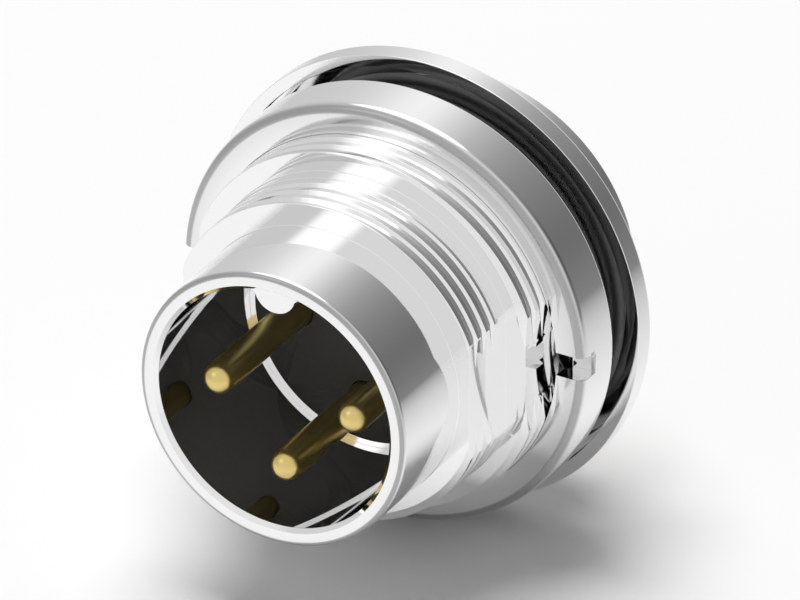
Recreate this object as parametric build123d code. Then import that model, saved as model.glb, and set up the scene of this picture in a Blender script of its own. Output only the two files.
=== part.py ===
from build123d import *
import os

# Panel connector, male, three contacts. All sizes in millimetres.
# The axis is Y. A depth is measured along it from the rim of the shell towards the solder side,
# and the row's origin lies on the axis in the plane of the flange's sealing face.

# Housing, lengths along the axis from the rim backwards
SHELL_LENGTH = 4.89
MATING_THREAD_LENGTH = 3.26
PANEL_THREAD_LENGTH = 4.75
NECK_LENGTH = 1.59
RECESS_LENGTH = 0.57
FLANGE_THICKNESS = 1.10
REAR_BODY_LENGTH = 4.07

# Housing, outside
SHELL_WALL = 0.88
MATING_THREAD_DIA = 16.00
MATING_FLATS_WIDTH = 14.86
PANEL_THREAD_DIA = 18.00
PANEL_FLATS_WIDTH = 16.96
NECK_DIA = 16.00
FLANGE_DIA = 22.15
RIM_OUTER_ROUND = 0.25
RIM_INNER_CHAMFER = 0.20
FLANGE_FRONT_ROUND = 0.08
FLANGE_BACK_ROUND = 0.20
REAR_BODY_CHAMFER = 0.25

# Housing, inside
SOCKET_DIA = 12.00
SOCKET_LENGTH = 8.40
LEDGE_LIP = 0.28
LEDGE_THICKNESS = 1.60
LEDGE_SEAT_WIDTH = 1.08
REAR_BODY_WALL = 1.255
KEY_RADIUS = 1.05
KEY_SETBACK = 0.24
KEY_CENTRE_INSET = 0.02
KEY_ROOT_ROUND = 0.30

# Ring nut
NUT_TO_FLANGE = 1.20
NUT_THICKNESS = 2.72
NUT_WALL = 1.40
NUT_FRONT_ROUND = 0.45
NUT_BACK_ROUND = 0.20
NUT_THREAD_CLEARANCE = 0.05
NUT_BORE_CHAMFER = 0.12
NUT_SLOT_WIDTH = 1.17
NUT_SLOT_DEPTH = 1.12

# Rubber rings, drawn free of what they touch by their clearance
PANEL_SEAL_SECTION_DIA = 1.50
PANEL_SEAL_SIDE_ROOM = 0.98
INNER_SEAL_SECTION_DIA = 0.90
SEAL_CLEARANCE = 0.02

# Contacts
CONTACT_CIRCLE_RADIUS = 3.50
PIN_DIA = 1.50
PIN_TIP_SETBACK = 0.68
COLLAR_DIA = 2.90
COLLAR_LENGTH = 1.20
TAIL_DIA = 2.20
TAIL_PROUD_LENGTH = 3.51
CUP_WALL = 0.30
CUP_BORE_LENGTH = 3.20
CUP_MOUTH_LENGTH = 2.30

# Front insert and rear insulator
NOSE_CLEARANCE = 0.03
KEYWAY_CLEARANCE = 0.04
SHOULDER_LENGTH = 2.10
INSULATOR_LENGTH = 4.60
INSULATOR_EDGE_CHAMFER = 0.25
BORE_CLEARANCE = 0.05
PIN_HOLE_CLEARANCE = 0.06
COLLAR_CLEARANCE = 0.04
TAIL_CLEARANCE = 0.04

# Retaining ring and its groove
RING_THICKNESS = 0.80
RING_WIDTH = 1.00
RING_GAP = 3.20
RING_END_ROUND = 0.35
RING_GROOVE_DEPTH = 0.40
RING_GROOVE_CLEARANCE = 0.04

# Places along the axis, as depths behind the rim
MATING_THREAD_DEPTH = SHELL_LENGTH
PANEL_THREAD_DEPTH = MATING_THREAD_DEPTH + MATING_THREAD_LENGTH
NECK_DEPTH = PANEL_THREAD_DEPTH + PANEL_THREAD_LENGTH
RECESS_FLOOR_DEPTH = NECK_DEPTH + NECK_LENGTH
FLANGE_FACE_DEPTH = RECESS_FLOOR_DEPTH - RECESS_LENGTH
FLANGE_BACK_DEPTH = FLANGE_FACE_DEPTH + FLANGE_THICKNESS
HOUSING_BACK_DEPTH = FLANGE_BACK_DEPTH + REAR_BODY_LENGTH
NUT_BACK_DEPTH = FLANGE_FACE_DEPTH - NUT_TO_FLANGE
NUT_FRONT_DEPTH = NUT_BACK_DEPTH - NUT_THICKNESS
LEDGE_BACK_DEPTH = SOCKET_LENGTH + LEDGE_THICKNESS
SHOULDER_DEPTH = LEDGE_BACK_DEPTH + INNER_SEAL_SECTION_DIA
INSERT_BACK_DEPTH = SHOULDER_DEPTH + SHOULDER_LENGTH
COLLAR_DEPTH = INSERT_BACK_DEPTH - COLLAR_LENGTH
INSULATOR_BACK_DEPTH = INSERT_BACK_DEPTH + INSULATOR_LENGTH
RING_BACK_DEPTH = INSULATOR_BACK_DEPTH + RING_THICKNESS
TAIL_END_DEPTH = HOUSING_BACK_DEPTH + TAIL_PROUD_LENGTH

# Sizes that follow from a neighbour and a clearance
RECESS_DIA = NECK_DIA + 2 * PANEL_SEAL_SECTION_DIA + 2 * PANEL_SEAL_SIDE_ROOM
SHELL_DIA = SOCKET_DIA + 2 * SHELL_WALL
LEDGE_DIA = SOCKET_DIA - 2 * LEDGE_LIP
REAR_BORE_DIA = LEDGE_DIA + 2 * LEDGE_SEAT_WIDTH
REAR_BODY_DIA = REAR_BORE_DIA + 2 * REAR_BODY_WALL
NOSE_DIA = LEDGE_DIA - 2 * NOSE_CLEARANCE
NUT_BORE_DIA = PANEL_THREAD_DIA + 2 * NUT_THREAD_CLEARANCE
NUT_DIA = NUT_BORE_DIA + 2 * NUT_WALL
STACK_DIA = REAR_BORE_DIA - 2 * BORE_CLEARANCE
CUP_BORE_DIA = TAIL_DIA - 2 * CUP_WALL
GROOVE_DIA = REAR_BORE_DIA + 2 * RING_GROOVE_DEPTH
RING_OUTER_DIA = GROOVE_DIA - 4 * RING_GROOVE_CLEARANCE
KEY_CENTRE_RADIUS = SOCKET_DIA / 2 - KEY_CENTRE_INSET

OVERRUN = 1.0


def at(depth):
    """Row Y of a depth behind the rim."""
    return depth - FLANGE_FACE_DEPTH


def disc(dia, front, back):
    """Cylinder along the axis between two depths."""
    centre = (at(front) + at(back)) / 2
    return Pos(0, centre, 0) * Rot(90, 0, 0) * Cylinder(dia / 2, back - front)


def ring_edges(solid, dia, depth):
    """Circular edges of one diameter at one depth."""
    found = []
    for edge in solid.edges().filter_by(GeomType.CIRCLE):
        same_place = abs(edge.arc_center.Y - at(depth)) < 0.005
        if same_place and abs(edge.radius - dia / 2) < 0.005:
            found.append(edge)
    return found


def along_axis(sketch, front, back):
    """Prism of a sketch drawn as seen from the mating end, between two depths."""
    seen_from_front = Plane(origin=(0, at(back), 0), x_dir=(1, 0, 0), z_dir=(0, -1, 0))
    return extrude(seen_from_front * sketch, back - front)


def keyed_circle(dia, key_radius, root_round):
    """Round opening with the half-round key taken out of it at the top."""
    opening = Circle(dia / 2) - Pos(0, KEY_CENTRE_RADIUS) * Circle(key_radius)
    if root_round > 0:
        opening = fillet(opening.vertices(), root_round)
    return opening


def contact_places():
    """Names and cross positions of the contacts, as seen from the mating end."""
    return {
        "contact_left": (-CONTACT_CIRCLE_RADIUS, 0.0, 180),
        "contact_bottom": (0.0, -CONTACT_CIRCLE_RADIUS, 90),
        "contact_right": (CONTACT_CIRCLE_RADIUS, 0.0, 0),
    }


def across_flats(width, front, back):
    """Block that leaves two upright flats on what it is intersected with."""
    centre = (at(front) + at(back)) / 2
    return Pos(0, centre, 0) * Box(width, back - front, 4 * FLANGE_DIA)


def housing_outside():
    """Turned outside with both thread lengths, flats, neck and recessed flange."""
    nose = disc(SHELL_DIA, 0, MATING_THREAD_DEPTH + OVERRUN)
    nose = fillet(ring_edges(nose, SHELL_DIA, 0), RIM_OUTER_ROUND)
    mating = disc(MATING_THREAD_DIA, MATING_THREAD_DEPTH, PANEL_THREAD_DEPTH)
    mating &= across_flats(MATING_FLATS_WIDTH, MATING_THREAD_DEPTH, PANEL_THREAD_DEPTH)
    panel = disc(PANEL_THREAD_DIA, PANEL_THREAD_DEPTH, NECK_DEPTH)
    panel &= across_flats(PANEL_FLATS_WIDTH, PANEL_THREAD_DEPTH, NECK_DEPTH)
    neck = disc(NECK_DIA, NECK_DEPTH, RECESS_FLOOR_DEPTH)
    rear = disc(REAR_BODY_DIA, FLANGE_BACK_DEPTH, HOUSING_BACK_DEPTH)
    rear = chamfer(ring_edges(rear, REAR_BODY_DIA, HOUSING_BACK_DEPTH), REAR_BODY_CHAMFER)
    return nose + mating + panel + neck + flange() + rear


def flange():
    """Flange with the open recess that holds the panel seal."""
    plate = disc(FLANGE_DIA, FLANGE_FACE_DEPTH, FLANGE_BACK_DEPTH)
    plate = fillet(ring_edges(plate, FLANGE_DIA, FLANGE_FACE_DEPTH), FLANGE_FRONT_ROUND)
    plate = fillet(ring_edges(plate, FLANGE_DIA, FLANGE_BACK_DEPTH), FLANGE_BACK_ROUND)
    return plate - disc(RECESS_DIA, FLANGE_FACE_DEPTH - OVERRUN, RECESS_FLOOR_DEPTH)


def housing_hollows():
    """The bores of the housing, front to back, with the key left standing in the first two."""
    socket = keyed_circle(SOCKET_DIA, KEY_RADIUS, KEY_ROOT_ROUND)
    ledge = keyed_circle(LEDGE_DIA, KEY_RADIUS, 0)
    groove_front = INSULATOR_BACK_DEPTH - RING_GROOVE_CLEARANCE
    groove_back = RING_BACK_DEPTH + RING_GROOVE_CLEARANCE
    return [
        disc(SOCKET_DIA, -OVERRUN, KEY_SETBACK),
        along_axis(socket, KEY_SETBACK, SOCKET_LENGTH),
        along_axis(ledge, SOCKET_LENGTH, LEDGE_BACK_DEPTH),
        disc(REAR_BORE_DIA, LEDGE_BACK_DEPTH, HOUSING_BACK_DEPTH + OVERRUN),
        disc(GROOVE_DIA, groove_front, groove_back),
    ]


def make_housing():
    """One turned and milled metal piece: shell, key, threads, flange and rear body."""
    housing = housing_outside()
    for hollow in housing_hollows():
        housing -= hollow
    return chamfer(ring_edges(housing, SOCKET_DIA, 0), RIM_INNER_CHAMFER)


def make_ring_nut():
    """Round nut of the panel thread, with two spanner slots across its front."""
    nut = disc(NUT_DIA, NUT_FRONT_DEPTH, NUT_BACK_DEPTH)
    nut = fillet(ring_edges(nut, NUT_DIA, NUT_FRONT_DEPTH), NUT_FRONT_ROUND)
    nut = fillet(ring_edges(nut, NUT_DIA, NUT_BACK_DEPTH), NUT_BACK_ROUND)
    nut -= disc(NUT_BORE_DIA, NUT_FRONT_DEPTH - OVERRUN, NUT_BACK_DEPTH + OVERRUN)
    mouths = ring_edges(nut, NUT_BORE_DIA, NUT_FRONT_DEPTH)
    mouths += ring_edges(nut, NUT_BORE_DIA, NUT_BACK_DEPTH)
    nut = chamfer(mouths, NUT_BORE_CHAMFER)
    slot_centre = at(NUT_FRONT_DEPTH) + (NUT_SLOT_DEPTH - OVERRUN) / 2
    slots = Box(2 * NUT_DIA, NUT_SLOT_DEPTH + OVERRUN, NUT_SLOT_WIDTH)
    return nut - Pos(0, slot_centre, 0) * slots


def seal_ring(centre_radius, centre_depth, section_radius):
    """Round-section rubber ring about the axis."""
    return Pos(0, at(centre_depth), 0) * Rot(90, 0, 0) * Torus(centre_radius, section_radius)


def make_panel_o_ring():
    """Panel seal on the neck, standing proud of the flange's recess."""
    section_radius = PANEL_SEAL_SECTION_DIA / 2
    centre_radius = NECK_DIA / 2 + section_radius
    centre_depth = RECESS_FLOOR_DEPTH - section_radius
    return seal_ring(centre_radius, centre_depth, section_radius - SEAL_CLEARANCE)


def make_inner_seal():
    """Seal squeezed between the housing's ledge and the front insert's shoulder."""
    section_radius = INNER_SEAL_SECTION_DIA / 2
    centre_radius = (NOSE_DIA + REAR_BORE_DIA) / 4
    centre_depth = LEDGE_BACK_DEPTH + section_radius
    return seal_ring(centre_radius, centre_depth, section_radius - SEAL_CLEARANCE)


def make_front_insert():
    """Moulded insert whose nose fills the ledge, with a keyway and three stepped holes."""
    keyway_radius = KEY_RADIUS + KEYWAY_CLEARANCE
    nose = keyed_circle(NOSE_DIA, keyway_radius, 0)
    insert = along_axis(nose, SOCKET_LENGTH, SHOULDER_DEPTH)
    insert += disc(STACK_DIA, SHOULDER_DEPTH, INSERT_BACK_DEPTH)
    for x, z, _ in contact_places().values():
        hole_dia = PIN_DIA + 2 * PIN_HOLE_CLEARANCE
        pin_hole = disc(hole_dia, SOCKET_LENGTH - OVERRUN, COLLAR_DEPTH)
        seat_dia = COLLAR_DIA + 2 * COLLAR_CLEARANCE
        collar_seat = disc(seat_dia, COLLAR_DEPTH, INSERT_BACK_DEPTH + OVERRUN)
        insert -= Pos(x, 0, z) * (pin_hole + collar_seat)
    return insert


def make_rear_insulator():
    """Moulded disc that closes the collar seats and lets the solder tails through."""
    block = disc(STACK_DIA, INSERT_BACK_DEPTH, INSULATOR_BACK_DEPTH)
    edge = ring_edges(block, STACK_DIA, INSULATOR_BACK_DEPTH)
    block = chamfer(edge, INSULATOR_EDGE_CHAMFER)
    for x, z, _ in contact_places().values():
        hole_dia = TAIL_DIA + 2 * TAIL_CLEARANCE
        hole = disc(hole_dia, INSERT_BACK_DEPTH - OVERRUN, INSULATOR_BACK_DEPTH + OVERRUN)
        block -= Pos(x, 0, z) * hole
    return block


def make_contact(x, z, facing):
    """Turned contact: round-nosed pin, collar, tail and open solder cup facing outwards."""
    pin = disc(PIN_DIA, PIN_TIP_SETBACK, COLLAR_DEPTH)
    pin = fillet(ring_edges(pin, PIN_DIA, PIN_TIP_SETBACK), PIN_DIA / 2 - 0.005)
    collar = disc(COLLAR_DIA, COLLAR_DEPTH, INSERT_BACK_DEPTH)
    tail = disc(TAIL_DIA, INSERT_BACK_DEPTH, TAIL_END_DEPTH)
    tail -= disc(CUP_BORE_DIA, TAIL_END_DEPTH - CUP_BORE_LENGTH, TAIL_END_DEPTH + OVERRUN)
    mouth_centre = at(TAIL_END_DEPTH) - (CUP_MOUTH_LENGTH - OVERRUN) / 2
    mouth = Box(TAIL_DIA, CUP_MOUTH_LENGTH + OVERRUN, 2 * TAIL_DIA)
    tail -= Pos(TAIL_DIA / 2, mouth_centre, 0) * mouth
    return Pos(x, 0, z) * Rot(0, facing, 0) * (pin + collar + tail)


def make_retaining_ring():
    """Open spring ring in the rear groove, holding the insulator in."""
    inner_dia = RING_OUTER_DIA - 2 * RING_WIDTH
    ring = disc(RING_OUTER_DIA, INSULATOR_BACK_DEPTH, RING_BACK_DEPTH)
    ring -= disc(inner_dia, INSULATOR_BACK_DEPTH - OVERRUN, RING_BACK_DEPTH + OVERRUN)
    gap_centre = (at(INSULATOR_BACK_DEPTH) + at(RING_BACK_DEPTH)) / 2
    gap = Box(RING_GAP, 2 * RING_THICKNESS, RING_OUTER_DIA / 2)
    ring -= Pos(0, gap_centre, RING_OUTER_DIA / 2) * gap
    ends = []
    for edge in ring.edges().filter_by(Axis.Y):
        if abs(abs(edge.center().X) - RING_GAP / 2) < 0.005:
            ends.append(edge)
    return fillet(ends, RING_END_ROUND)


def main():
    """Write every piece as its own file."""
    os.makedirs("parts", exist_ok=True)
    pieces = {
        "housing": make_housing(),
        "ring_nut": make_ring_nut(),
        "panel_o_ring": make_panel_o_ring(),
        "front_insert": make_front_insert(),
        "inner_seal": make_inner_seal(),
        "rear_insulator": make_rear_insulator(),
        "retaining_ring": make_retaining_ring(),
    }
    for name, (x, z, facing) in contact_places().items():
        pieces[name] = make_contact(x, z, facing)
    for name, shape in pieces.items():
        export_step(shape, f"parts/{name}.step")
        print(name, round(shape.volume, 2), len(shape.solids()))


main()
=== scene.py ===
"""Round panel connector with a keyed shell, two threads, a ring nut and three contacts.

The threads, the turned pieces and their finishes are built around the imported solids.
"""

import logging
import math
from dataclasses import dataclass
from enum import Enum
from typing import Optional, Sequence

import bmesh
import bpy
from mathutils import Matrix, Vector


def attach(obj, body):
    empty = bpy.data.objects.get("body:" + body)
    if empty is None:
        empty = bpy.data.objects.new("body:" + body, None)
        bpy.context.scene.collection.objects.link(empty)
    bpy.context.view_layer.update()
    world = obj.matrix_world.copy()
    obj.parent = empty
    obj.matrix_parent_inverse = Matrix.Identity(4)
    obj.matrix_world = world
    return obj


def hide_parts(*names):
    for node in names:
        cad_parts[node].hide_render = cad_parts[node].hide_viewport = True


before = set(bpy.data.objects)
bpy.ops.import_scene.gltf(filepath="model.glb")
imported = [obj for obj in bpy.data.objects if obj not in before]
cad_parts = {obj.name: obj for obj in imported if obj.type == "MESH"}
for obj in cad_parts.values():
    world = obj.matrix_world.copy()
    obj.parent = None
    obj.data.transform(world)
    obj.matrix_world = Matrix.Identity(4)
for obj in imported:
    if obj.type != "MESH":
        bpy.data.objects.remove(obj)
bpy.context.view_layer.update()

MM = 0.001
FLANGE_FACE_DEPTH = 13.92
ROUND_STEPS = 240
SHARP_ANGLE = math.radians(13)
FLANK_ANGLE = math.radians(30)
ON_AXIS = 1e-6
TOUCHING = 1e-8
MERGED = 1e-7
# Rounds marked by this attribute get a painted grey shade, in place of a darker reflection, and a
# rougher surface.
ROUND_SHADE_ATTRIBUTE = "satin"
PAINTED_ROUND_GREY = 0.42
ROUND_SHADE_ROUGHNESS = 0.3
Socket = bpy.types.NodeSocket
Outline = list[tuple[float, float]]

log = logging.getLogger("connector")


class Hand(Enum):
    """Which side of a wall a thread groove is cut from."""

    OUTSIDE = "rod"
    INSIDE = "bore"


class Cut(Enum):
    """How one solid is joined to another."""

    REMOVE = "DIFFERENCE"
    ADD = "UNION"


def row_y(depth: float) -> float:
    """Row Y in metres of a depth in millimetres behind the rim."""
    return (depth - FLANGE_FACE_DEPTH) * MM


@dataclass(frozen=True)
class Station:
    """One corner of a turned profile.

    Args:
        radius: distance from the piece's axis, in millimetres.
        depth: distance behind the rim, in millimetres.
        fillet: radius of the round on this corner, in millimetres.
        flat: half the distance between two upright flats, in millimetres, or None.
    """

    radius: float
    depth: float
    fillet: float = 0.0
    flat: Optional[float] = None


def rounded(stations: Sequence[Station]) -> list[Station]:
    """Replaces each filleted corner by an arc, with a support ring on both sides.

    Args:
        stations: corners in order. The last is taken to join the first.

    Returns:
        The corners of the finished profile.
    """
    widest_support, small_fillet, few_steps, many_steps = 0.012, 0.06, 8, 10
    result: list[Station] = []
    count = len(stations)
    for i, here in enumerate(stations):
        if here.fillet <= 0:
            result.append(here)
            continue
        before = stations[(i - 1) % count]
        after = stations[(i + 1) % count]
        p = Vector((here.radius, here.depth))
        to_before = (Vector((before.radius, before.depth)) - p).normalized()
        to_after = (Vector((after.radius, after.depth)) - p).normalized()
        half = to_before.angle(to_after) / 2
        reach = here.fillet / math.tan(half)
        centre = p + (to_before + to_after).normalized() * (here.fillet / math.sin(half))
        start = p + to_before * reach
        end = p + to_after * reach
        support = min(widest_support, here.fillet / 4)
        steps = many_steps if here.fillet > small_fillet else few_steps
        a0 = math.atan2(*(start - centre).yx)
        a1 = math.atan2(*(end - centre).yx)
        turn = (a1 - a0 + math.pi) % math.tau - math.pi
        result.append(Station(*(start + to_before * support), flat=here.flat))
        for k in range(steps + 1):
            a = a0 + turn * k / steps
            x = centre.x + here.fillet * math.cos(a)
            y = centre.y + here.fillet * math.sin(a)
            result.append(Station(x, y, flat=here.flat))
        result.append(Station(*(end + to_after * support), flat=here.flat))
    return result


def ring_angles(steps: int, corners: Sequence[float]) -> list[float]:
    """Angles round the axis, with the corner angles of the flats among them.

    Args:
        steps: number of equal steps.
        corners: extra angles in radians, measured from +X.

    Returns:
        Sorted angles in radians.
    """
    step = math.tau / steps
    angles = [i * step for i in range(steps)]
    for corner in corners:
        corner %= math.tau
        nearest = round(corner / step) % steps
        angles[nearest] = corner
    return sorted(angles)


def turned(
    name: str, stations: Sequence[Station], closed: bool = True, steps: int = ROUND_STEPS
) -> bpy.types.Object:
    """Turns a profile about the row's Y axis into a closed solid.

    Args:
        name: name of the new object.
        stations: corners of the profile. An open profile starts and ends on the axis.
        closed: whether the profile is a ring that stays off the axis.
        steps: segments round the axis.

    Returns:
        The new object.
    """
    rows = rounded(stations)
    corners: list[float] = []
    for row in rows:
        if row.flat is not None and row.flat < row.radius:
            a = math.acos(row.flat / row.radius)
            corners += [a, -a, math.pi - a, math.pi + a]
    angles = ring_angles(steps, sorted(set(round(c, 6) for c in corners)))
    bm = bmesh.new()
    rings: list[list[bmesh.types.BMVert]] = []
    for row in rows:
        if row.radius < ON_AXIS:
            rings.append([bm.verts.new((0, row_y(row.depth), 0))])
            continue
        ring = []
        for a in angles:
            radius = row.radius
            if row.flat is not None and radius * abs(math.cos(a)) > row.flat:
                radius = row.flat / abs(math.cos(a))
            across, up = radius * math.cos(a) * MM, radius * math.sin(a) * MM
            ring.append(bm.verts.new((across, row_y(row.depth), up)))
        rings.append(ring)
    pairs = list(zip(rings, rings[1:]))
    if closed:
        pairs.append((rings[-1], rings[0]))
    count = len(angles)
    for low, high in pairs:
        for i in range(count):
            j = (i + 1) % count
            if len(low) == 1:
                bm.faces.new((low[0], high[j], high[i]))
            elif len(high) == 1:
                bm.faces.new((low[i], low[j], high[0]))
            else:
                bm.faces.new((low[i], low[j], high[j], high[i]))
    bmesh.ops.remove_doubles(bm, verts=bm.verts, dist=TOUCHING)
    bmesh.ops.recalc_face_normals(bm, faces=bm.faces)
    return finished_mesh(name, bm)


def finished_mesh(name: str, bm: bmesh.types.BMesh) -> bpy.types.Object:
    """Writes a bmesh into a new linked object, smooth with sharp corners.

    Args:
        name: name of the new object.
        bm: the mesh, which is freed.

    Returns:
        The new object.
    """
    mesh = bpy.data.meshes.new(name)
    bm.to_mesh(mesh)
    bm.free()
    smooth(mesh)
    obj = bpy.data.objects.new(name, mesh)
    bpy.context.scene.collection.objects.link(obj)
    return obj


def smooth(mesh: bpy.types.Mesh, limit: float = SHARP_ANGLE) -> None:
    """Shades a mesh smooth, with edges sharper than the limit left crisp."""
    mesh.shade_smooth()
    mesh.set_sharp_from_angle(angle=limit)


def prism(name: str, outline: Outline, front: float, back: float) -> bpy.types.Object:
    """Extrudes an outline along the axis.

    Args:
        name: name of the new object.
        outline: (x, z) corners in millimetres, as seen from the mating end.
        front: first depth in millimetres.
        back: last depth in millimetres.

    Returns:
        The new closed object.
    """
    bm = bmesh.new()
    near = [bm.verts.new((x * MM, row_y(front), z * MM)) for x, z in outline]
    far = [bm.verts.new((x * MM, row_y(back), z * MM)) for x, z in outline]
    bm.faces.new(near)
    bm.faces.new(list(reversed(far)))
    for i in range(len(outline)):
        j = (i + 1) % len(outline)
        bm.faces.new((near[i], far[i], far[j], near[j]))
    bmesh.ops.recalc_face_normals(bm, faces=bm.faces)
    return finished_mesh(name, bm)


def combine(target: bpy.types.Object, tool: bpy.types.Object, how: Cut) -> None:
    """Joins a tool solid to a target for good, and removes the tool.

    Args:
        target: solid that changes.
        tool: solid that is added or cut away.
        how: which of the two.
    """
    modifier = target.modifiers.new(how.value, "BOOLEAN")
    modifier.operation = how.value
    modifier.solver = "EXACT"
    modifier.object = tool
    replace_by_result(target)
    remove(tool)


def replace_by_result(obj: bpy.types.Object) -> None:
    """Bakes an object's modifiers into its mesh and clears them.

    Args:
        obj: object whose mesh is replaced.
    """
    depsgraph = bpy.context.evaluated_depsgraph_get()
    mesh = bpy.data.meshes.new_from_object(obj.evaluated_get(depsgraph), depsgraph=depsgraph)
    obj.modifiers.clear()
    old = obj.data
    obj.data = mesh
    mesh.name = obj.name
    bpy.data.meshes.remove(old)


def remove(obj: bpy.types.Object) -> None:
    """Deletes an object with its mesh.

    Args:
        obj: object to delete.
    """
    mesh = obj.data
    bpy.data.objects.remove(obj)
    bpy.data.meshes.remove(mesh)


def tidy(obj: bpy.types.Object) -> None:
    """Merges doubled corners after cuts, and shades the piece again.

    Args:
        obj: piece that was cut.
    """
    bm = bmesh.new()
    bm.from_mesh(obj.data)
    bmesh.ops.remove_doubles(bm, verts=bm.verts, dist=MERGED)
    bmesh.ops.dissolve_degenerate(bm, edges=bm.edges, dist=MERGED)
    bm.to_mesh(obj.data)
    bm.free()
    smooth(obj.data)


# Finishes.


def ranged(
    tree: bpy.types.NodeTree,
    value: Socket,
    span: tuple[float, float],
    to: tuple[float, float],
    kind: str = "SMOOTHSTEP",
) -> Socket:
    """Maps a value from one range to another.

    Args:
        tree: tree that gets the node.
        value: socket to read.
        span: range of the value.
        to: range of the result.
        kind: interpolation between the ends.

    Returns:
        The result's socket.
    """
    node = tree.nodes.new("ShaderNodeMapRange")
    node.interpolation_type = kind
    node.inputs["From Min"].default_value, node.inputs["From Max"].default_value = span
    node.inputs["To Min"].default_value, node.inputs["To Max"].default_value = to
    tree.links.new(value, node.inputs["Value"])
    return node.outputs["Result"]


def facing(tree: bpy.types.NodeTree, direction: Socket, towards: tuple[float, float, float]) -> Socket:
    """Cosine between the looked-at direction and a fixed one.

    Args:
        tree: tree that gets the node.
        direction: socket of the looked-at direction.
        towards: the fixed direction.

    Returns:
        The cosine's socket.
    """
    node = tree.nodes.new("ShaderNodeVectorMath")
    node.operation = "DOT_PRODUCT"
    node.inputs[1].default_value = Vector(towards).normalized()
    tree.links.new(direction, node.inputs[0])
    return node.outputs["Value"]


def blended(tree: bpy.types.NodeTree, factor: object, first: object, second: object) -> Socket:
    """Mixes two tones or other numbers.

    Args:
        tree: tree that gets the node.
        factor: share of the second, as a socket or a number.
        first: socket or number.
        second: socket or number.

    Returns:
        The result's socket.
    """
    node = tree.nodes.new("ShaderNodeMix")
    for socket, value in zip(node.inputs[:1] + node.inputs[2:4], (factor, first, second)):
        if isinstance(value, Socket):
            tree.links.new(value, socket)
        else:
            socket.default_value = value
    return node.outputs[0]


class Shader:
    """A principled material with the helpers that the finishes share."""

    def __init__(self, name: str) -> None:
        """Starts a plain principled material.

        Args:
            name: name of the material.
        """
        self.material = bpy.data.materials.new(name)
        self.material.use_nodes = True
        self.tree = self.material.node_tree
        self.surface = self.tree.nodes["Principled BSDF"]

    def set(self, socket: str, value: object) -> None:
        """Sets one socket of the surface."""
        self.surface.inputs[socket].default_value = value

    def noise(self, scale: float, detail: float) -> Socket:
        """Adds a noise pattern on the piece's own coordinates.

        Args:
            scale: waves in a metre.
            detail: number of finer layers.

        Returns:
            The pattern's factor.
        """
        coordinates = self.tree.nodes.new("ShaderNodeTexCoord")
        noise = self.tree.nodes.new("ShaderNodeTexNoise")
        noise.inputs["Scale"].default_value = scale
        noise.inputs["Detail"].default_value = detail
        self.tree.links.new(coordinates.outputs["Object"], noise.inputs["Vector"])
        return noise.outputs["Fac"]

    def roughness(self, factor: Socket, low: float, high: float) -> None:
        """Varies the roughness by a pattern.

        Args:
            factor: the pattern, which lies mostly between 0.3 and 0.7.
            low: smallest roughness.
            high: largest roughness.
        """
        spread = ranged(self.tree, factor, (0.3, 0.7), (low, high), "LINEAR")
        self.tree.links.new(spread, self.surface.inputs["Roughness"])

    def soft_edges(self, radius: float) -> None:
        """Rounds the look of every corner.

        Args:
            radius: radius of the round, in millimetres.
        """
        edge = self.tree.nodes.new("ShaderNodeBevel")
        edge.samples = 6
        edge.inputs["Radius"].default_value = radius * MM
        self.tree.links.new(edge.outputs["Normal"], self.surface.inputs["Normal"])

    def satin(self, plain: float) -> None:
        """Greys and roughens the surface where the mesh is marked. The grey is painted shade, in place
        of a darker reflection.

        Args:
            plain: tone of the surface elsewhere.
        """
        amount = self.tree.nodes.new("ShaderNodeAttribute")
        amount.attribute_name = ROUND_SHADE_ATTRIBUTE
        # Painted shade: the marked rounds take a grey base colour instead of the plating's tone.
        tone = blended(self.tree, amount.outputs["Fac"], plain, PAINTED_ROUND_GREY)
        self.tree.links.new(tone, self.surface.inputs["Base Color"])
        rough = self.surface.inputs["Roughness"]
        polished = rough.links[0].from_socket
        blurred = blended(self.tree, amount.outputs["Fac"], polished, ROUND_SHADE_ROUGHNESS)
        self.tree.links.new(blurred, rough)

    def bump(self, factor: Socket, depth: float, strength: float) -> None:
        """Adds a fine surface grain.

        Args:
            factor: pattern of the grain.
            depth: height of the grain, in metres.
            strength: share of it that shows.
        """
        bump = self.tree.nodes.new("ShaderNodeBump")
        bump.inputs["Strength"].default_value = strength
        bump.inputs["Distance"].default_value = depth
        self.tree.links.new(factor, bump.inputs["Height"])
        self.tree.links.new(bump.outputs["Normal"], self.surface.inputs["Normal"])


@dataclass(frozen=True)
class Finish:
    """A material and the name of its slot.

    Args:
        slot: name of the slot. It is not used.
        material: the material.
    """

    slot: str
    material: bpy.types.Material


@dataclass(frozen=True)
class PlatedMetal:
    """Polished plating.

    Args:
        slot: name of the slot, which also names the material.
        colour: reflected colour.
        low: smallest roughness.
        high: largest roughness.
        edge: radius to which corners look rounded, in millimetres. When it is set, the marked rounds
            also get a painted grey shade.
        cloud_scale: waves in a metre of the faint clouds in the polish.
    """

    slot: str
    colour: tuple[float, float, float]
    low: float
    high: float
    edge: float = 0.0
    cloud_scale: float = 900

    def make(self) -> Finish:
        """Builds the material.

        Returns:
            The finish of the slot.
        """
        shader = Shader("polished_" + self.slot)
        shader.set("Base Color", (*self.colour, 1))
        shader.set("Metallic", 1.0)
        shader.roughness(shader.noise(self.cloud_scale, 3), self.low, self.high)
        if self.edge > 0:
            shader.soft_edges(self.edge)
            # Painted grey shade and a rougher surface on the marked front rounds.
            shader.satin(self.colour[0])
        return Finish(self.slot, shader.material)


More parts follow.
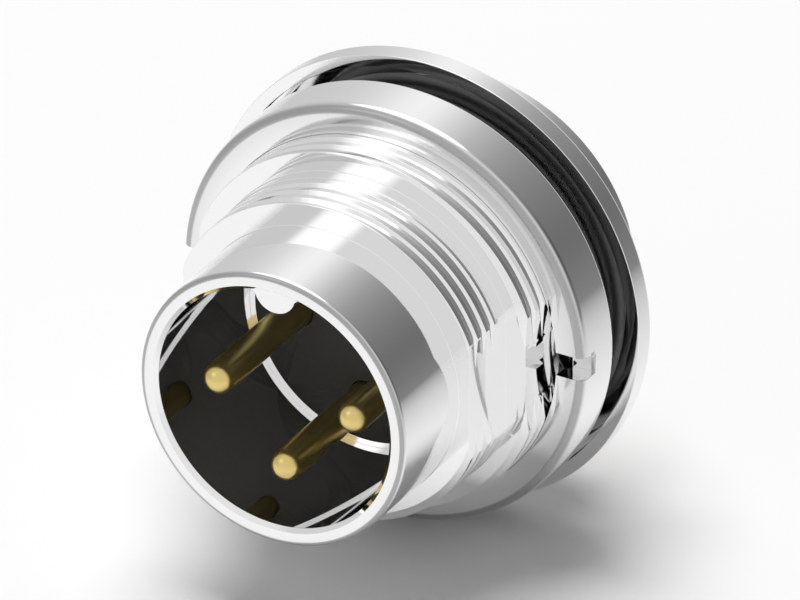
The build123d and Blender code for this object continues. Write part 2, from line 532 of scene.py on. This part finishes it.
@dataclass(frozen=True)
class Moulding:
    """Matte moulded plastic or rubber with a fine grain.

    Args:
        slot: name of the slot, which also names the material.
        colour: surface colour.
        low: smallest roughness.
        high: largest roughness.
        grain: depth of the grain in millimetres.
        shine: strength of the surface's reflection.
        grain_scale: waves in a metre of the grain.
    """

    slot: str
    colour: tuple[float, float, float]
    low: float
    high: float
    grain: float
    shine: float = 0.4
    grain_scale: float = 4200

    def make(self) -> Finish:
        """Builds the material.

        Returns:
            The finish of the slot.
        """
        shader = Shader("matte_" + self.slot)
        shader.set("Base Color", (*self.colour, 1))
        shader.set("Specular IOR Level", self.shine)
        factor = shader.noise(self.grain_scale, 4)
        shader.roughness(factor, self.low, self.high)
        shader.bump(factor, self.grain * MM, 0.4)
        return Finish(self.slot, shader.material)


NICKEL = PlatedMetal("nickel_plate", (0.88, 0.88, 0.88), 0.03, 0.06, 0.03)
GOLD = PlatedMetal("gold_plate", (0.75, 0.59, 0.23), 0.28, 0.31)
STEEL = PlatedMetal("spring_steel", (0.55, 0.55, 0.56), 0.25, 0.36)
BLACK = Moulding("black_moulding", (0.062, 0.062, 0.061), 0.75, 0.85, 0.01)
RUBBER = Moulding("seal_rubber", (0.015, 0.015, 0.016), 0.40, 0.50, 0.006, 0.9)


# Threads.


@dataclass
class ThreadCutter:
    """Helical cutter for one thread, made by geometry nodes.

    Args:
        name: name of the node tree and its object.
        outer: crest diameter of the outer thread, in millimetres.
        pitch: distance between turns, in millimetres.
        first: depth of the helix at its start, in millimetres.
        turns: number of turns.
        start_angle: angle of the start, in degrees clockwise from the top as seen from the mating end.
        runout: turns at the end over which the groove fades out.
        hand: whether the groove is cut into a rod or into a bore.
        bore: diameter of the bore, in millimetres.
        steps: segments for each turn.
        opening: width of the groove at the crest, as a share of the pitch.
        root: width of the groove's bottom in a rod, in millimetres.
        proud: height of the cutter above a rod's crest, in millimetres.
        lap: reach of the cutter into a bore, clear of its wall, in millimetres.
    """

    name: str
    outer: float
    pitch: float
    first: float
    turns: float
    start_angle: float = 0.0
    runout: float = 0.0
    hand: Hand = Hand.OUTSIDE
    bore: float = 0.0
    steps: int = 120
    opening: float = 0.64
    root: float = 0.02
    proud: float = 0.12
    lap: float = 0.08

    def section(self) -> tuple[float, float, float, float]:
        """Works out the cutter's section.

        Returns:
            Radius of the section's middle, its height, and its widths near and far from the axis.
        """
        slope = 2 * math.tan(FLANK_ANGLE)
        opening = self.opening * self.pitch
        if self.hand is Hand.OUTSIDE:
            depth = (opening - self.root) / slope
            height = depth + self.proud
            radius = self.outer / 2 - depth + height / 2
            return radius, height, self.root, self.root + slope * height
        tip = self.pitch - opening
        inner = self.bore / 2 - self.lap
        outer = self.outer / 2
        height = outer - inner
        return (inner + outer) / 2, height, tip + slope * height, tip

    def tree(self) -> bpy.types.NodeTree:
        """Builds the node tree.

        Returns:
            A tree whose inputs are the helix's and the section's sizes.
        """
        tree = bpy.data.node_groups.new(self.name, "GeometryNodeTree")
        face = tree.interface
        face.new_socket("Geometry", in_out="OUTPUT", socket_type="NodeSocketGeometry")
        sizes = ("Radius", "Pitch", "Turns", "Start", "Angle", "Runout", "Lift", "Height", "Near", "Far")
        for label in sizes:
            face.new_socket(label, in_out="INPUT", socket_type="NodeSocketFloat")
        face.new_socket("Points", in_out="INPUT", socket_type="NodeSocketInt")
        face.new_socket("Material", in_out="INPUT", socket_type="NodeSocketMaterial")
        nodes, links = tree.nodes, tree.links
        given = nodes.new("NodeGroupInput").outputs
        out = nodes.new("NodeGroupOutput")

        def math_node(kind: str, a: object, b: object = 0.0, c: object = 0.0) -> Socket:
            """Adds one sum to the tree.

            Args:
                kind: operation of the node.
                a: first socket or number.
                b: second socket or number.
                c: third socket or number.

            Returns:
                The result's socket.
            """
            node = nodes.new("ShaderNodeMath")
            node.operation = kind
            for socket, value in zip(node.inputs, (a, b, c)):
                if isinstance(value, Socket):
                    links.new(value, socket)
                else:
                    socket.default_value = value
            return node.outputs[0]

        line = nodes.new("GeometryNodeCurvePrimitiveLine")
        resample = nodes.new("GeometryNodeResampleCurve")
        links.new(line.outputs["Curve"], resample.inputs["Curve"])
        links.new(given["Points"], resample.inputs["Count"])
        along = nodes.new("GeometryNodeSplineParameter").outputs["Factor"]
        turned_by = math_node("MULTIPLY", along, given["Turns"])
        angle = math_node("MULTIPLY_ADD", turned_by, math.tau, given["Angle"])
        left = math_node("SUBTRACT", given["Turns"], turned_by)
        past = math_node("MAXIMUM", math_node("SUBTRACT", given["Runout"], left), 0.0)
        fade = math_node("DIVIDE", past, math_node("MAXIMUM", given["Runout"], ON_AXIS))
        radius = math_node("MULTIPLY_ADD", fade, given["Lift"], given["Radius"])
        across = math_node("MULTIPLY", radius, math_node("SINE", angle))
        down = math_node("MULTIPLY", math_node("MULTIPLY", radius, math_node("COSINE", angle)), -1.0)
        behind = math_node("MULTIPLY_ADD", turned_by, given["Pitch"], given["Start"])
        place = nodes.new("ShaderNodeCombineXYZ")
        for value, socket in zip((across, down, behind), place.inputs):
            links.new(value, socket)
        bend = nodes.new("GeometryNodeSetPosition")
        links.new(resample.outputs["Curve"], bend.inputs["Geometry"])
        links.new(place.outputs["Vector"], bend.inputs["Position"])
        upright = nodes.new("GeometryNodeSetCurveNormal")
        upright.mode = "Z_UP"
        links.new(bend.outputs["Geometry"], upright.inputs["Curve"])
        section = nodes.new("GeometryNodeCurvePrimitiveQuadrilateral")
        section.mode = "TRAPEZOID"
        links.new(given["Near"], section.inputs["Bottom Width"])
        links.new(given["Far"], section.inputs["Top Width"])
        links.new(given["Height"], section.inputs["Height"])
        section.inputs["Offset"].default_value = 0.0
        outward = nodes.new("GeometryNodeTransform")
        outward.inputs["Rotation"].default_value = (0, 0, -math.pi / 2)
        links.new(section.outputs["Curve"], outward.inputs["Geometry"])
        sweep = nodes.new("GeometryNodeCurveToMesh")
        sweep.inputs["Fill Caps"].default_value = True
        links.new(upright.outputs["Curve"], sweep.inputs["Curve"])
        links.new(outward.outputs["Geometry"], sweep.inputs["Profile Curve"])
        lay = nodes.new("GeometryNodeTransform")
        lay.inputs["Rotation"].default_value = (-math.pi / 2, 0, 0)
        links.new(sweep.outputs["Mesh"], lay.inputs["Geometry"])
        realize = nodes.new("GeometryNodeRealizeInstances")
        links.new(lay.outputs["Geometry"], realize.inputs["Geometry"])
        paint = nodes.new("GeometryNodeSetMaterial")
        links.new(realize.outputs["Geometry"], paint.inputs["Geometry"])
        links.new(given["Material"], paint.inputs["Material"])
        links.new(paint.outputs["Geometry"], out.inputs["Geometry"])
        return tree

    def make(self, material: bpy.types.Material) -> bpy.types.Object:
        """Builds the cutter as a plain closed mesh.

        Args:
            material: finish that the cut faces take.

        Returns:
            The cutter's object.
        """
        radius, height, near, far = self.section()
        tree = self.tree()
        obj = bpy.data.objects.new(self.name, bpy.data.meshes.new(self.name))
        bpy.context.scene.collection.objects.link(obj)
        modifier = obj.modifiers.new(self.name, "NODES")
        modifier.node_group = tree
        values = {
            "Radius": radius * MM,
            "Pitch": self.pitch * MM,
            "Turns": self.turns,
            "Start": row_y(self.first),
            "Angle": math.radians(self.start_angle),
            "Runout": self.runout,
            "Lift": height * MM,
            "Height": height * MM,
            "Near": near * MM,
            "Far": far * MM,
            "Points": int(self.turns * self.steps) + 1,
            "Material": material,
        }
        for item in tree.interface.items_tree:
            if item.in_out == "INPUT":
                modifier[item.identifier] = values[item.name]
        obj.update_tag()
        replace_by_result(obj)
        bm = bmesh.new()
        bm.from_mesh(obj.data)
        bmesh.ops.remove_doubles(bm, verts=bm.verts, dist=TOUCHING)
        bmesh.ops.recalc_face_normals(bm, faces=bm.faces)
        bm.to_mesh(obj.data)
        bm.free()
        bpy.data.node_groups.remove(tree)
        return obj


# Pieces.


def mark_painted_round_shade(obj: bpy.types.Object, radius: float, depth: float, fillet: float) -> None:
    """Marks the middle of a front round for a painted grey shade and a rougher surface.

    Args:
        obj: piece that has the round.
        radius: distance of the round's centre from the axis, in millimetres.
        depth: depth of the round's centre, in millimetres.
        fillet: radius of the round, in millimetres.
    """
    slack, skin = 0.02, 0.03
    first, fade_in, last, fade_out = 22, 20, 93, 6
    layer = obj.data.attributes.new(ROUND_SHADE_ATTRIBUTE, "FLOAT", "POINT")
    for vertex, value in zip(obj.data.vertices, layer.data):
        out = math.hypot(vertex.co.x, vertex.co.z) / MM - radius
        ahead = depth - FLANGE_FACE_DEPTH - vertex.co.y / MM
        if out > -slack and ahead > -slack and abs(math.hypot(out, ahead) - fillet) < skin:
            angle = math.degrees(math.atan2(ahead, out))
            rising = min(max((angle - first) / fade_in, 0.0), 1.0)
            value.value = rising * min(max((last - angle) / fade_out, 0.0), 1.0)


def put_in_place(obj: bpy.types.Object, finish: Finish, body: str, node: str) -> None:
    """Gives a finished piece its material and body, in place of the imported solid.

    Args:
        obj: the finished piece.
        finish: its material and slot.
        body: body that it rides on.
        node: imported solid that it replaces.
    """
    obj.data.materials.clear()
    obj.data.materials.append(finish.material)
    obj.data.polygons.foreach_set("material_index", [0] * len(obj.data.polygons))
    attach(obj, body)
    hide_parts(node)
    log.info("%s: %d faces", obj.name, len(obj.data.polygons))


@dataclass
class Housing:
    """Turned and milled metal body. Radii, depths behind the rim and widths are in millimetres."""

    shell: float = 6.88
    rim_round: float = 0.25
    socket: float = 6.0
    socket_mouth: float = 0.20
    socket_floor: float = 8.40
    ledge: float = 5.72
    ledge_back: float = 10.0
    rear_bore: float = 6.80
    groove: float = 7.20
    groove_front: float = 17.56
    groove_back: float = 18.44
    rear_body: float = 8.055
    rear_bevel: float = 0.25
    rear_end: float = 19.09
    neck: float = 8.0
    neck_start: float = 12.90
    flange: float = 11.075
    flange_back: float = 15.02
    flange_back_round: float = 0.20
    recess: float = 10.48
    recess_floor: float = 14.49
    mating_crest: float = 8.0
    mating_flat: float = 7.43
    mating_start: float = 4.89
    mating_lead: float = 1.07
    mating_turns: float = 4.5
    mating_runout: float = 0.3
    shoulder: float = 8.04
    shoulder_start: float = 7.44
    panel_crest: float = 9.0
    panel_flat: float = 8.48
    panel_start: float = 8.15
    panel_lead: float = 0.922
    panel_turns: float = 8.0
    pitch: float = 0.75
    nut_face: float = 10.0
    fill_width: float = 0.05
    key_radius: float = 1.05
    key_centre: float = 5.98
    key_root: float = 0.30
    key_front: float = 0.24
    key_lap: float = 1.5
    edge: float = 0.03

    def profile(self) -> list[Station]:
        """Lists the section's corners.

        Returns:
            Corners from the rim round the outside and back through the bore.
        """
        mating, panel, edge, mouth = self.mating_flat, self.panel_flat, self.edge, self.socket_mouth
        shoulder_top = self.shoulder_start + self.shoulder - self.mating_crest
        return [
            Station(self.socket + mouth, 0.0),
            Station(self.shell, 0.0, self.rim_round),
            Station(self.shell, self.mating_start, edge),
            Station(self.mating_crest, self.mating_start, edge, mating),
            Station(self.mating_crest, self.shoulder_start, 0, mating),
            Station(self.shoulder, shoulder_top, 0, mating),
            Station(self.shoulder, self.panel_start, edge, mating),
            Station(self.panel_crest, self.panel_start, edge, panel),
            Station(self.panel_crest, self.neck_start, edge, panel),
            Station(self.neck, self.neck_start, edge),
            Station(self.neck, self.recess_floor, edge),
            Station(self.recess, self.recess_floor, edge),
            Station(self.recess, FLANGE_FACE_DEPTH),
            Station(self.flange, FLANGE_FACE_DEPTH, edge),
            Station(self.flange, self.flange_back, self.flange_back_round),
            Station(self.rear_body, self.flange_back),
            Station(self.rear_body, self.rear_end - self.rear_bevel),
            Station(self.rear_body - self.rear_bevel, self.rear_end),
            Station(self.rear_bore, self.rear_end),
            Station(self.rear_bore, self.groove_back),
            Station(self.groove, self.groove_back),
            Station(self.groove, self.groove_front),
            Station(self.rear_bore, self.groove_front),
            Station(self.rear_bore, self.ledge_back),
            Station(self.ledge, self.ledge_back),
            Station(self.ledge, self.socket_floor),
            Station(self.socket, self.socket_floor),
            Station(self.socket, mouth),
        ]

    def key_outline(self) -> Outline:
        """Draws the key with its root rounds.

        Returns:
            Corners in millimetres, closed inside the shell's wall.
        """
        root_steps, round_steps, sunk, sunk_middle = 8, 32, 1.06, 1.07
        c, k, f, s = self.key_centre, self.key_radius, self.key_root, self.socket
        z = ((s - f) ** 2 + c**2 - (k + f) ** 2) / (2 * c)
        x = math.sqrt((s - f) ** 2 - z**2)
        wall = math.atan2(z, x)
        meet = math.atan2(c - z, -x)
        points: Outline = []
        for i in range(root_steps + 1):
            a = wall + (meet - wall) * i / root_steps
            points.append((x + f * math.cos(a), z + f * math.sin(a)))
        root = [(-px, pz) for px, pz in reversed(points)]
        touch = math.atan2(z - c, x)
        for i in range(1, round_steps):
            a = touch + (-math.pi - 2 * touch) * i / round_steps
            points.append((k * math.cos(a), c + k * math.sin(a)))
        points += root
        top = [(px * sunk, pz * sunk) for px, pz in (points[-1], points[0])]
        return points + [top[0], (0.0, s * sunk_middle), top[1]]

    def panel_cutter(self, finish: Finish) -> bpy.types.Object:
        """Makes the panel thread's cutter, without a thin slice at the nut's front face.

        The groove stays closed there, where the nut's own thread would fill it.

        Args:
            finish: the plating.

        Returns:
            The cutter.
        """
        cutter = ThreadCutter(
            "panel_thread",
            2 * self.panel_crest,
            self.pitch,
            self.panel_start - self.panel_lead,
            self.panel_turns,
        ).make(finish.material)
        inward, outward = 0.8, 0.4
        inner, outer = self.panel_crest - inward, self.panel_crest + outward
        front, back = self.nut_face, self.nut_face + self.fill_width
        corners = ((inner, front), (outer, front), (outer, back), (inner, back))
        combine(cutter, turned("filled_turn", [Station(*corner) for corner in corners]), Cut.REMOVE)
        return cutter

    def build(self, finish: Finish) -> bpy.types.Object:
        """Turns the body, adds the key and cuts both threads.

        Args:
            finish: the plating.

        Returns:
            The finished housing.
        """
        body = turned("threaded_housing", self.profile())
        key = prism("key", self.key_outline(), self.key_front, self.socket_floor + self.key_lap)
        combine(body, key, Cut.ADD)
        mating = ThreadCutter(
            "mating_thread",
            2 * self.mating_crest,
            self.pitch,
            self.mating_start - self.mating_lead,
            self.mating_turns,
            runout=self.mating_runout,
        )
        combine(body, mating.make(finish.material), Cut.REMOVE)
        combine(body, self.panel_cutter(finish), Cut.REMOVE)
        tidy(body)
        # Painted grey shade on the middle of the rim's front round.
        mark_painted_round_shade(body, self.shell - self.rim_round, self.rim_round, self.rim_round)
        put_in_place(body, finish, "connector", "housing")
        return body


@dataclass
class RingNut:
    """Round slotted nut of the panel thread, with sizes in millimetres."""

    outer: float = 10.45
    minor: float = 9.015
    front: float = 10.0
    back: float = 12.72
    front_round: float = 0.45
    back_round: float = 0.20
    slot_width: float = 1.17
    slot_depth: float = 1.12
    pitch: float = 0.75
    thread_depth: float = 0.30
    thread_turns: float = 1.6
    thread_runout: float = 0.2

    def build(self, finish: Finish) -> bpy.types.Object:
        """Turns the nut, mills its slots and cuts its inner thread.

        Args:
            finish: the plating.

        Returns:
            The finished nut.
        """
        nut = turned("threaded_nut", [
            Station(self.minor, self.front),
            Station(self.outer, self.front, self.front_round),
            Station(self.outer, self.back, self.back_round),
            Station(self.minor, self.back),
        ])
        half, reach, overrun = self.slot_width / 2, 14.0, 1.0
        slots = [(-reach, -half), (reach, -half), (reach, half), (-reach, half)]
        mill = prism("slots", slots, self.front - overrun, self.front + self.slot_depth)
        combine(nut, mill, Cut.REMOVE)
        thread = ThreadCutter(
            "nut_thread",
            2 * (self.minor + self.thread_depth),
            self.pitch,
            self.front + self.pitch,
            self.thread_turns,
            runout=self.thread_runout,
            hand=Hand.INSIDE,
            bore=2 * self.minor,
        )
        combine(nut, thread.make(finish.material), Cut.REMOVE)
        tidy(nut)
        fillet = self.front_round
        # Painted grey shade on the middle of the nut's front round.
        mark_painted_round_shade(nut, self.outer - fillet, self.front + fillet, fillet)
        put_in_place(nut, finish, "ring_nut", "ring_nut")
        return nut


@dataclass
class Contact:
    """One turned contact, with sizes in millimetres.

    Args:
        name: node that the contact replaces.
        x: its place across the connector.
        z: its place above the connector's axis.
        facing: direction of the cup's mouth, in degrees.
    """

    name: str
    x: float
    z: float
    facing: float
    pin: float = 0.75
    tip: float = 0.68
    collar: float = 1.45
    collar_front: float = 11.80
    collar_back: float = 13.0
    tail: float = 1.10
    cup: float = 0.80
    cup_depth: float = 3.20
    cup_cone: float = 0.35
    mouth: float = 2.30
    end: float = 22.60
    end_round: float = 0.06
    steps: int = 64

    def profile(self) -> list[Station]:
        """Lists the section's corners.

        Returns:
            Corners from the round nose to the bottom of the cup.
        """
        nose_steps, shoulder = 16, 0.05
        nose = []
        for i in range(nose_steps + 1):
            a = math.pi / 2 * i / nose_steps
            nose.append(Station(self.pin * math.sin(a), self.tip + self.pin * (1 - math.cos(a))))
        return nose + [
            Station(self.pin, self.tip + self.pin + shoulder),
            Station(self.pin, self.collar_front),
            Station(self.collar, self.collar_front),
            Station(self.collar, self.collar_back),
            Station(self.tail, self.collar_back),
            Station(self.tail, self.end, self.end_round),
            Station(self.cup, self.end, self.end_round),
            Station(self.cup, self.end - self.cup_depth),
            Station(0.0, self.end - self.cup_depth - self.cup_cone),
        ]

    def build(self, finish: Finish) -> bpy.types.Object:
        """Turns the contact, opens its cup outwards and puts it in its place.

        Args:
            finish: the plating.

        Returns:
            The finished contact.
        """
        contact = turned(self.name + "_turned", self.profile(), closed=False, steps=self.steps)
        reach, overrun = 3.0, 1.0
        side = [(0.0, -reach), (reach, -reach), (reach, reach), (0.0, reach)]
        combine(contact, prism("mouth", side, self.end - self.mouth, self.end + overrun), Cut.REMOVE)
        spin = Matrix.Rotation(math.radians(self.facing), 4, "Y")
        contact.data.transform(Matrix.Translation((self.x * MM, 0, self.z * MM)) @ spin)
        tidy(contact)
        put_in_place(contact, finish, "connector", self.name)
        return contact


@dataclass
class PanelSeal:
    """Rubber ring in the flange's recess, with sizes in millimetres."""

    ring: float = 8.75
    section: float = 0.73
    depth: float = 13.74
    steps: int = 40

    def build(self, finish: Finish) -> bpy.types.Object:
        """Turns the round section.

        Args:
            finish: the rubber.

        Returns:
            The finished ring.
        """
        stations = []
        for i in range(self.steps):
            a = math.tau * i / self.steps
            r = self.ring + self.section * math.cos(a)
            stations.append(Station(r, self.depth + self.section * math.sin(a)))
        seal = turned("seal_ring", stations)
        put_in_place(seal, finish, "connector", "panel_o_ring")
        return seal


@dataclass
class CarriedPiece:
    """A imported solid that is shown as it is, merged and shaded smooth.

    Args:
        node: name of the solid.
        crisp: angle in degrees past which an edge stays sharp.
    """

    node: str
    crisp: float = 25.0

    def build(self, finish: Finish) -> bpy.types.Object:
        """Copies the solid, merges its corners and shades it.

        Args:
            finish: material of the piece.

        Returns:
            The finished piece.
        """
        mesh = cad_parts[self.node].data.copy()
        bm = bmesh.new()
        bm.from_mesh(mesh)
        bmesh.ops.remove_doubles(bm, verts=bm.verts, dist=MERGED)
        bm.to_mesh(mesh)
        bm.free()
        if mesh.has_custom_normals:
            mesh.normals_split_custom_set([(0, 0, 0)] * len(mesh.loops))
        smooth(mesh, math.radians(self.crisp))
        mesh.name = self.node + "_finished"
        piece = bpy.data.objects.new(mesh.name, mesh)
        bpy.context.scene.collection.objects.link(piece)
        put_in_place(piece, finish, "connector", self.node)
        return piece


# Studio.


@dataclass
class Studio:
    """Pale floor, soft light and the camera.

    Args:
        floor_height: height of the floor, in millimetres.
        floor_tone: colour of the floor.
        floor_radius: radius of the floor, in metres.
        foot: middle of the floor's mirror image in the plating, in metres.
        target: point that the camera looks at, in millimetres.
        towards_camera: direction from the object to the camera.
        frame_width: width of the camera's view, in millimetres.
        dark_side: direction in which the mirrored room is darkest.
        room_tones: tones of the mirrored room, by the cosine to the dark side.
        glows: bright patches of the room, as a direction, the cosines of its soft edge and a tone.
        fill_tone: tone of the room where it only lights matt surfaces.
        backdrop_tone: tone of the room behind the floor.
        lamp_place: place of the lamp, in metres.
        lamp_size: diameter of the lamp, in metres.
        lamp_energy: strength of the lamp, in watts.
    """

    floor_height: float = -11.12
    floor_tone: float = 0.92
    floor_radius: float = 0.8
    foot: tuple[float, float] = (-0.012, -0.012)
    target: tuple[float, float, float] = (3.758, -8.888, 4.294)
    towards_camera: tuple[float, float, float] = (0.4330127, -0.75, 0.5)
    frame_width: float = 36.036
    dark_side: tuple[float, float, float] = (0.82, 0.507, 0.266)
    room_tones: tuple[tuple[float, float], ...] = (
        (-1.0, 0.63), (-0.19, 0.63), (-0.06, 0.69), (0.05, 0.78), (0.19, 0.95),
        (0.27, 1.0), (0.35, 0.96), (0.51, 0.67), (0.58, 0.54), (0.72, 0.37),
        (0.83, 0.275), (0.88, 0.24), (0.935, 0.194), (1.0, 0.10),
    )
    glows: tuple[tuple[tuple[float, float, float], tuple[float, float], float], ...] = (
        ((-0.46, -0.70, 0.545), (0.960, 0.996), 0.6),
        ((-0.25, 0.28, 0.925), (0.88, 0.93), 0.9),
    )
    fill_tone: float = 0.26
    backdrop_tone: float = 0.97
    lamp_place: tuple[float, float, float] = (-0.09, 0.05, 0.60)
    lamp_size: float = 0.44
    lamp_energy: float = 3.35

    def floor(self) -> bpy.types.Object:
        """Lays a round pale floor, which fades out into the room in the plating's reflections. In those
        reflections it is darker towards the back at the right, a painted shadow.

        Returns:
            The floor's object.
        """
        # Painted shadow: in the plating's reflections the floor is darker towards the back at the right.
        towards_back, painted_shadow_tones = (0.61, 0.79, 0.0), (0.98, 0.87)
        bm = bmesh.new()
        bmesh.ops.create_circle(bm, cap_ends=True, radius=self.floor_radius, segments=96)
        bmesh.ops.translate(bm, verts=bm.verts, vec=(0, 0, self.floor_height * MM))
        floor = finished_mesh("floor", bm)
        shader = Shader("floor_paint")
        shader.set("Roughness", 1.0)
        shader.set("Specular IOR Level", 0.0)
        tree = shader.tree
        mirrored = tree.nodes.new("ShaderNodeLightPath").outputs["Is Glossy Ray"]
        place = tree.nodes.new("ShaderNodeTexCoord").outputs["Object"]
        behind = tree.nodes.new("ShaderNodeVectorMath")
        behind.operation = "DOT_PRODUCT"
        behind.inputs[1].default_value = towards_back
        tree.links.new(place, behind.inputs[0])
        shaded = ranged(tree, behind.outputs["Value"], (-0.01, 0.03), painted_shadow_tones)
        tone = blended(tree, mirrored, self.floor_tone, shaded)
        tree.links.new(tone, shader.surface.inputs["Base Color"])
        reach = tree.nodes.new("ShaderNodeVectorMath")
        reach.operation = "DISTANCE"
        reach.inputs[1].default_value = (*self.foot, self.floor_height * MM)
        tree.links.new(place, reach.inputs[0])
        faded = ranged(tree, reach.outputs["Value"], (0.01, 0.12), (0.0, 1.0))
        gone = blended(tree, mirrored, 0.0, faded)
        clear = tree.nodes.new("ShaderNodeBsdfTransparent")
        mix = tree.nodes.new("ShaderNodeMixShader")
        tree.links.new(gone, mix.inputs[0])
        tree.links.new(shader.surface.outputs["BSDF"], mix.inputs[1])
        tree.links.new(clear.outputs["BSDF"], mix.inputs[2])
        tree.links.new(mix.outputs["Shader"], tree.nodes["Material Output"].inputs["Surface"])
        floor.data.materials.append(shader.material)
        return floor

    def surroundings(self) -> None:
        """Lights the scene by a room that is pale all round, and dark behind at the right."""
        world = bpy.data.worlds.new("studio_room")
        bpy.context.scene.world = world
        world.use_nodes = True
        tree = world.node_tree
        look = tree.nodes.new("ShaderNodeTexCoord").outputs["Generated"]
        ramp = tree.nodes.new("ShaderNodeValToRGB")
        elements = ramp.color_ramp.elements
        elements[0].position, elements[1].position = 0.0, 1.0
        for element, (_, tone) in zip(elements, (self.room_tones[0], self.room_tones[-1])):
            element.color = (tone, tone, tone, 1)
        for cosine, tone in self.room_tones[1:-1]:
            elements.new((cosine + 1) / 2).color = (tone, tone, tone, 1)
        shaded = facing(tree, look, self.dark_side)
        tree.links.new(ranged(tree, shaded, (-1.0, 1.0), (0.0, 1.0), "LINEAR"), ramp.inputs["Fac"])
        path = tree.nodes.new("ShaderNodeLightPath").outputs
        front = ranged(tree, facing(tree, look, (-1, 0, 0)), (0.42, 0.66), (0.86, 0.72))
        behind = ranged(tree, facing(tree, look, (0, 1, 0)), (-0.3, 0.3), (0.0, 1.0))
        tone = blended(tree, behind, front, ramp.outputs["Color"])
        for towards, edge, glow in self.glows:
            plus = tree.nodes.new("ShaderNodeMath")
            tree.links.new(tone, plus.inputs[0])
            tree.links.new(ranged(tree, facing(tree, look, towards), edge, (0.0, glow)), plus.inputs[1])
            tone = plus.outputs[0]
        tone = blended(tree, path["Is Diffuse Ray"], tone, self.fill_tone)
        tone = blended(tree, path["Is Camera Ray"], tone, self.backdrop_tone)
        tree.links.new(tone, tree.nodes["Background"].inputs["Color"])

    def softbox(self) -> None:
        """Hangs one large soft light over the object. The plating doesn't mirror its outline."""
        light = bpy.data.lights.new("softbox", "AREA")
        light.shape = "DISK"
        light.size = self.lamp_size
        light.energy = self.lamp_energy
        lamp = bpy.data.objects.new("softbox", light)
        lamp.location = self.lamp_place
        lamp.rotation_euler = Vector(lamp.location).to_track_quat("Z", "Y").to_euler()
        lamp.visible_glossy = False
        bpy.context.scene.collection.objects.link(lamp)

    def camera(self) -> None:
        """Puts the camera at the photograph's angle, without perspective."""
        distance = 0.12
        data = bpy.data.cameras.new("camera")
        data.type = "ORTHO"
        data.ortho_scale = self.frame_width * MM
        data.clip_start = 0.001
        data.clip_end = 2.0
        back = Vector(self.towards_camera).normalized()
        right = Vector((0, 0, 1)).cross(back).normalized()
        up = back.cross(right)
        turn = Matrix((right, up, back)).transposed().to_4x4()
        camera = bpy.data.objects.new("camera", data)
        camera.matrix_world = Matrix.Translation(Vector(self.target) * MM + back * distance) @ turn
        bpy.context.scene.collection.objects.link(camera)
        bpy.context.scene.camera = camera

    def build(self) -> None:
        """Sets up floor, light and camera."""
        self.floor()
        self.surroundings()
        self.softbox()
        self.camera()
        bpy.context.scene.view_settings.view_transform = "Standard"


def main() -> None:
    """Builds every piece in order."""
    logging.basicConfig(level=logging.INFO, format="%(message)s")
    nickel, gold, steel = NICKEL.make(), GOLD.make(), STEEL.make()
    black, rubber = BLACK.make(), RUBBER.make()
    Housing().build(nickel)
    RingNut().build(nickel)
    PanelSeal().build(rubber)
    for contact in (
        Contact("contact_left", -3.5, 0.0, 180),
        Contact("contact_bottom", 0.0, -3.5, 90),
        Contact("contact_right", 3.5, 0.0, 0),
    ):
        contact.build(gold)
    CarriedPiece("front_insert").build(black)
    CarriedPiece("rear_insulator").build(black)
    CarriedPiece("inner_seal").build(rubber)
    CarriedPiece("retaining_ring").build(steel)
    Studio().build()


if __name__ == "__main__":
    main()
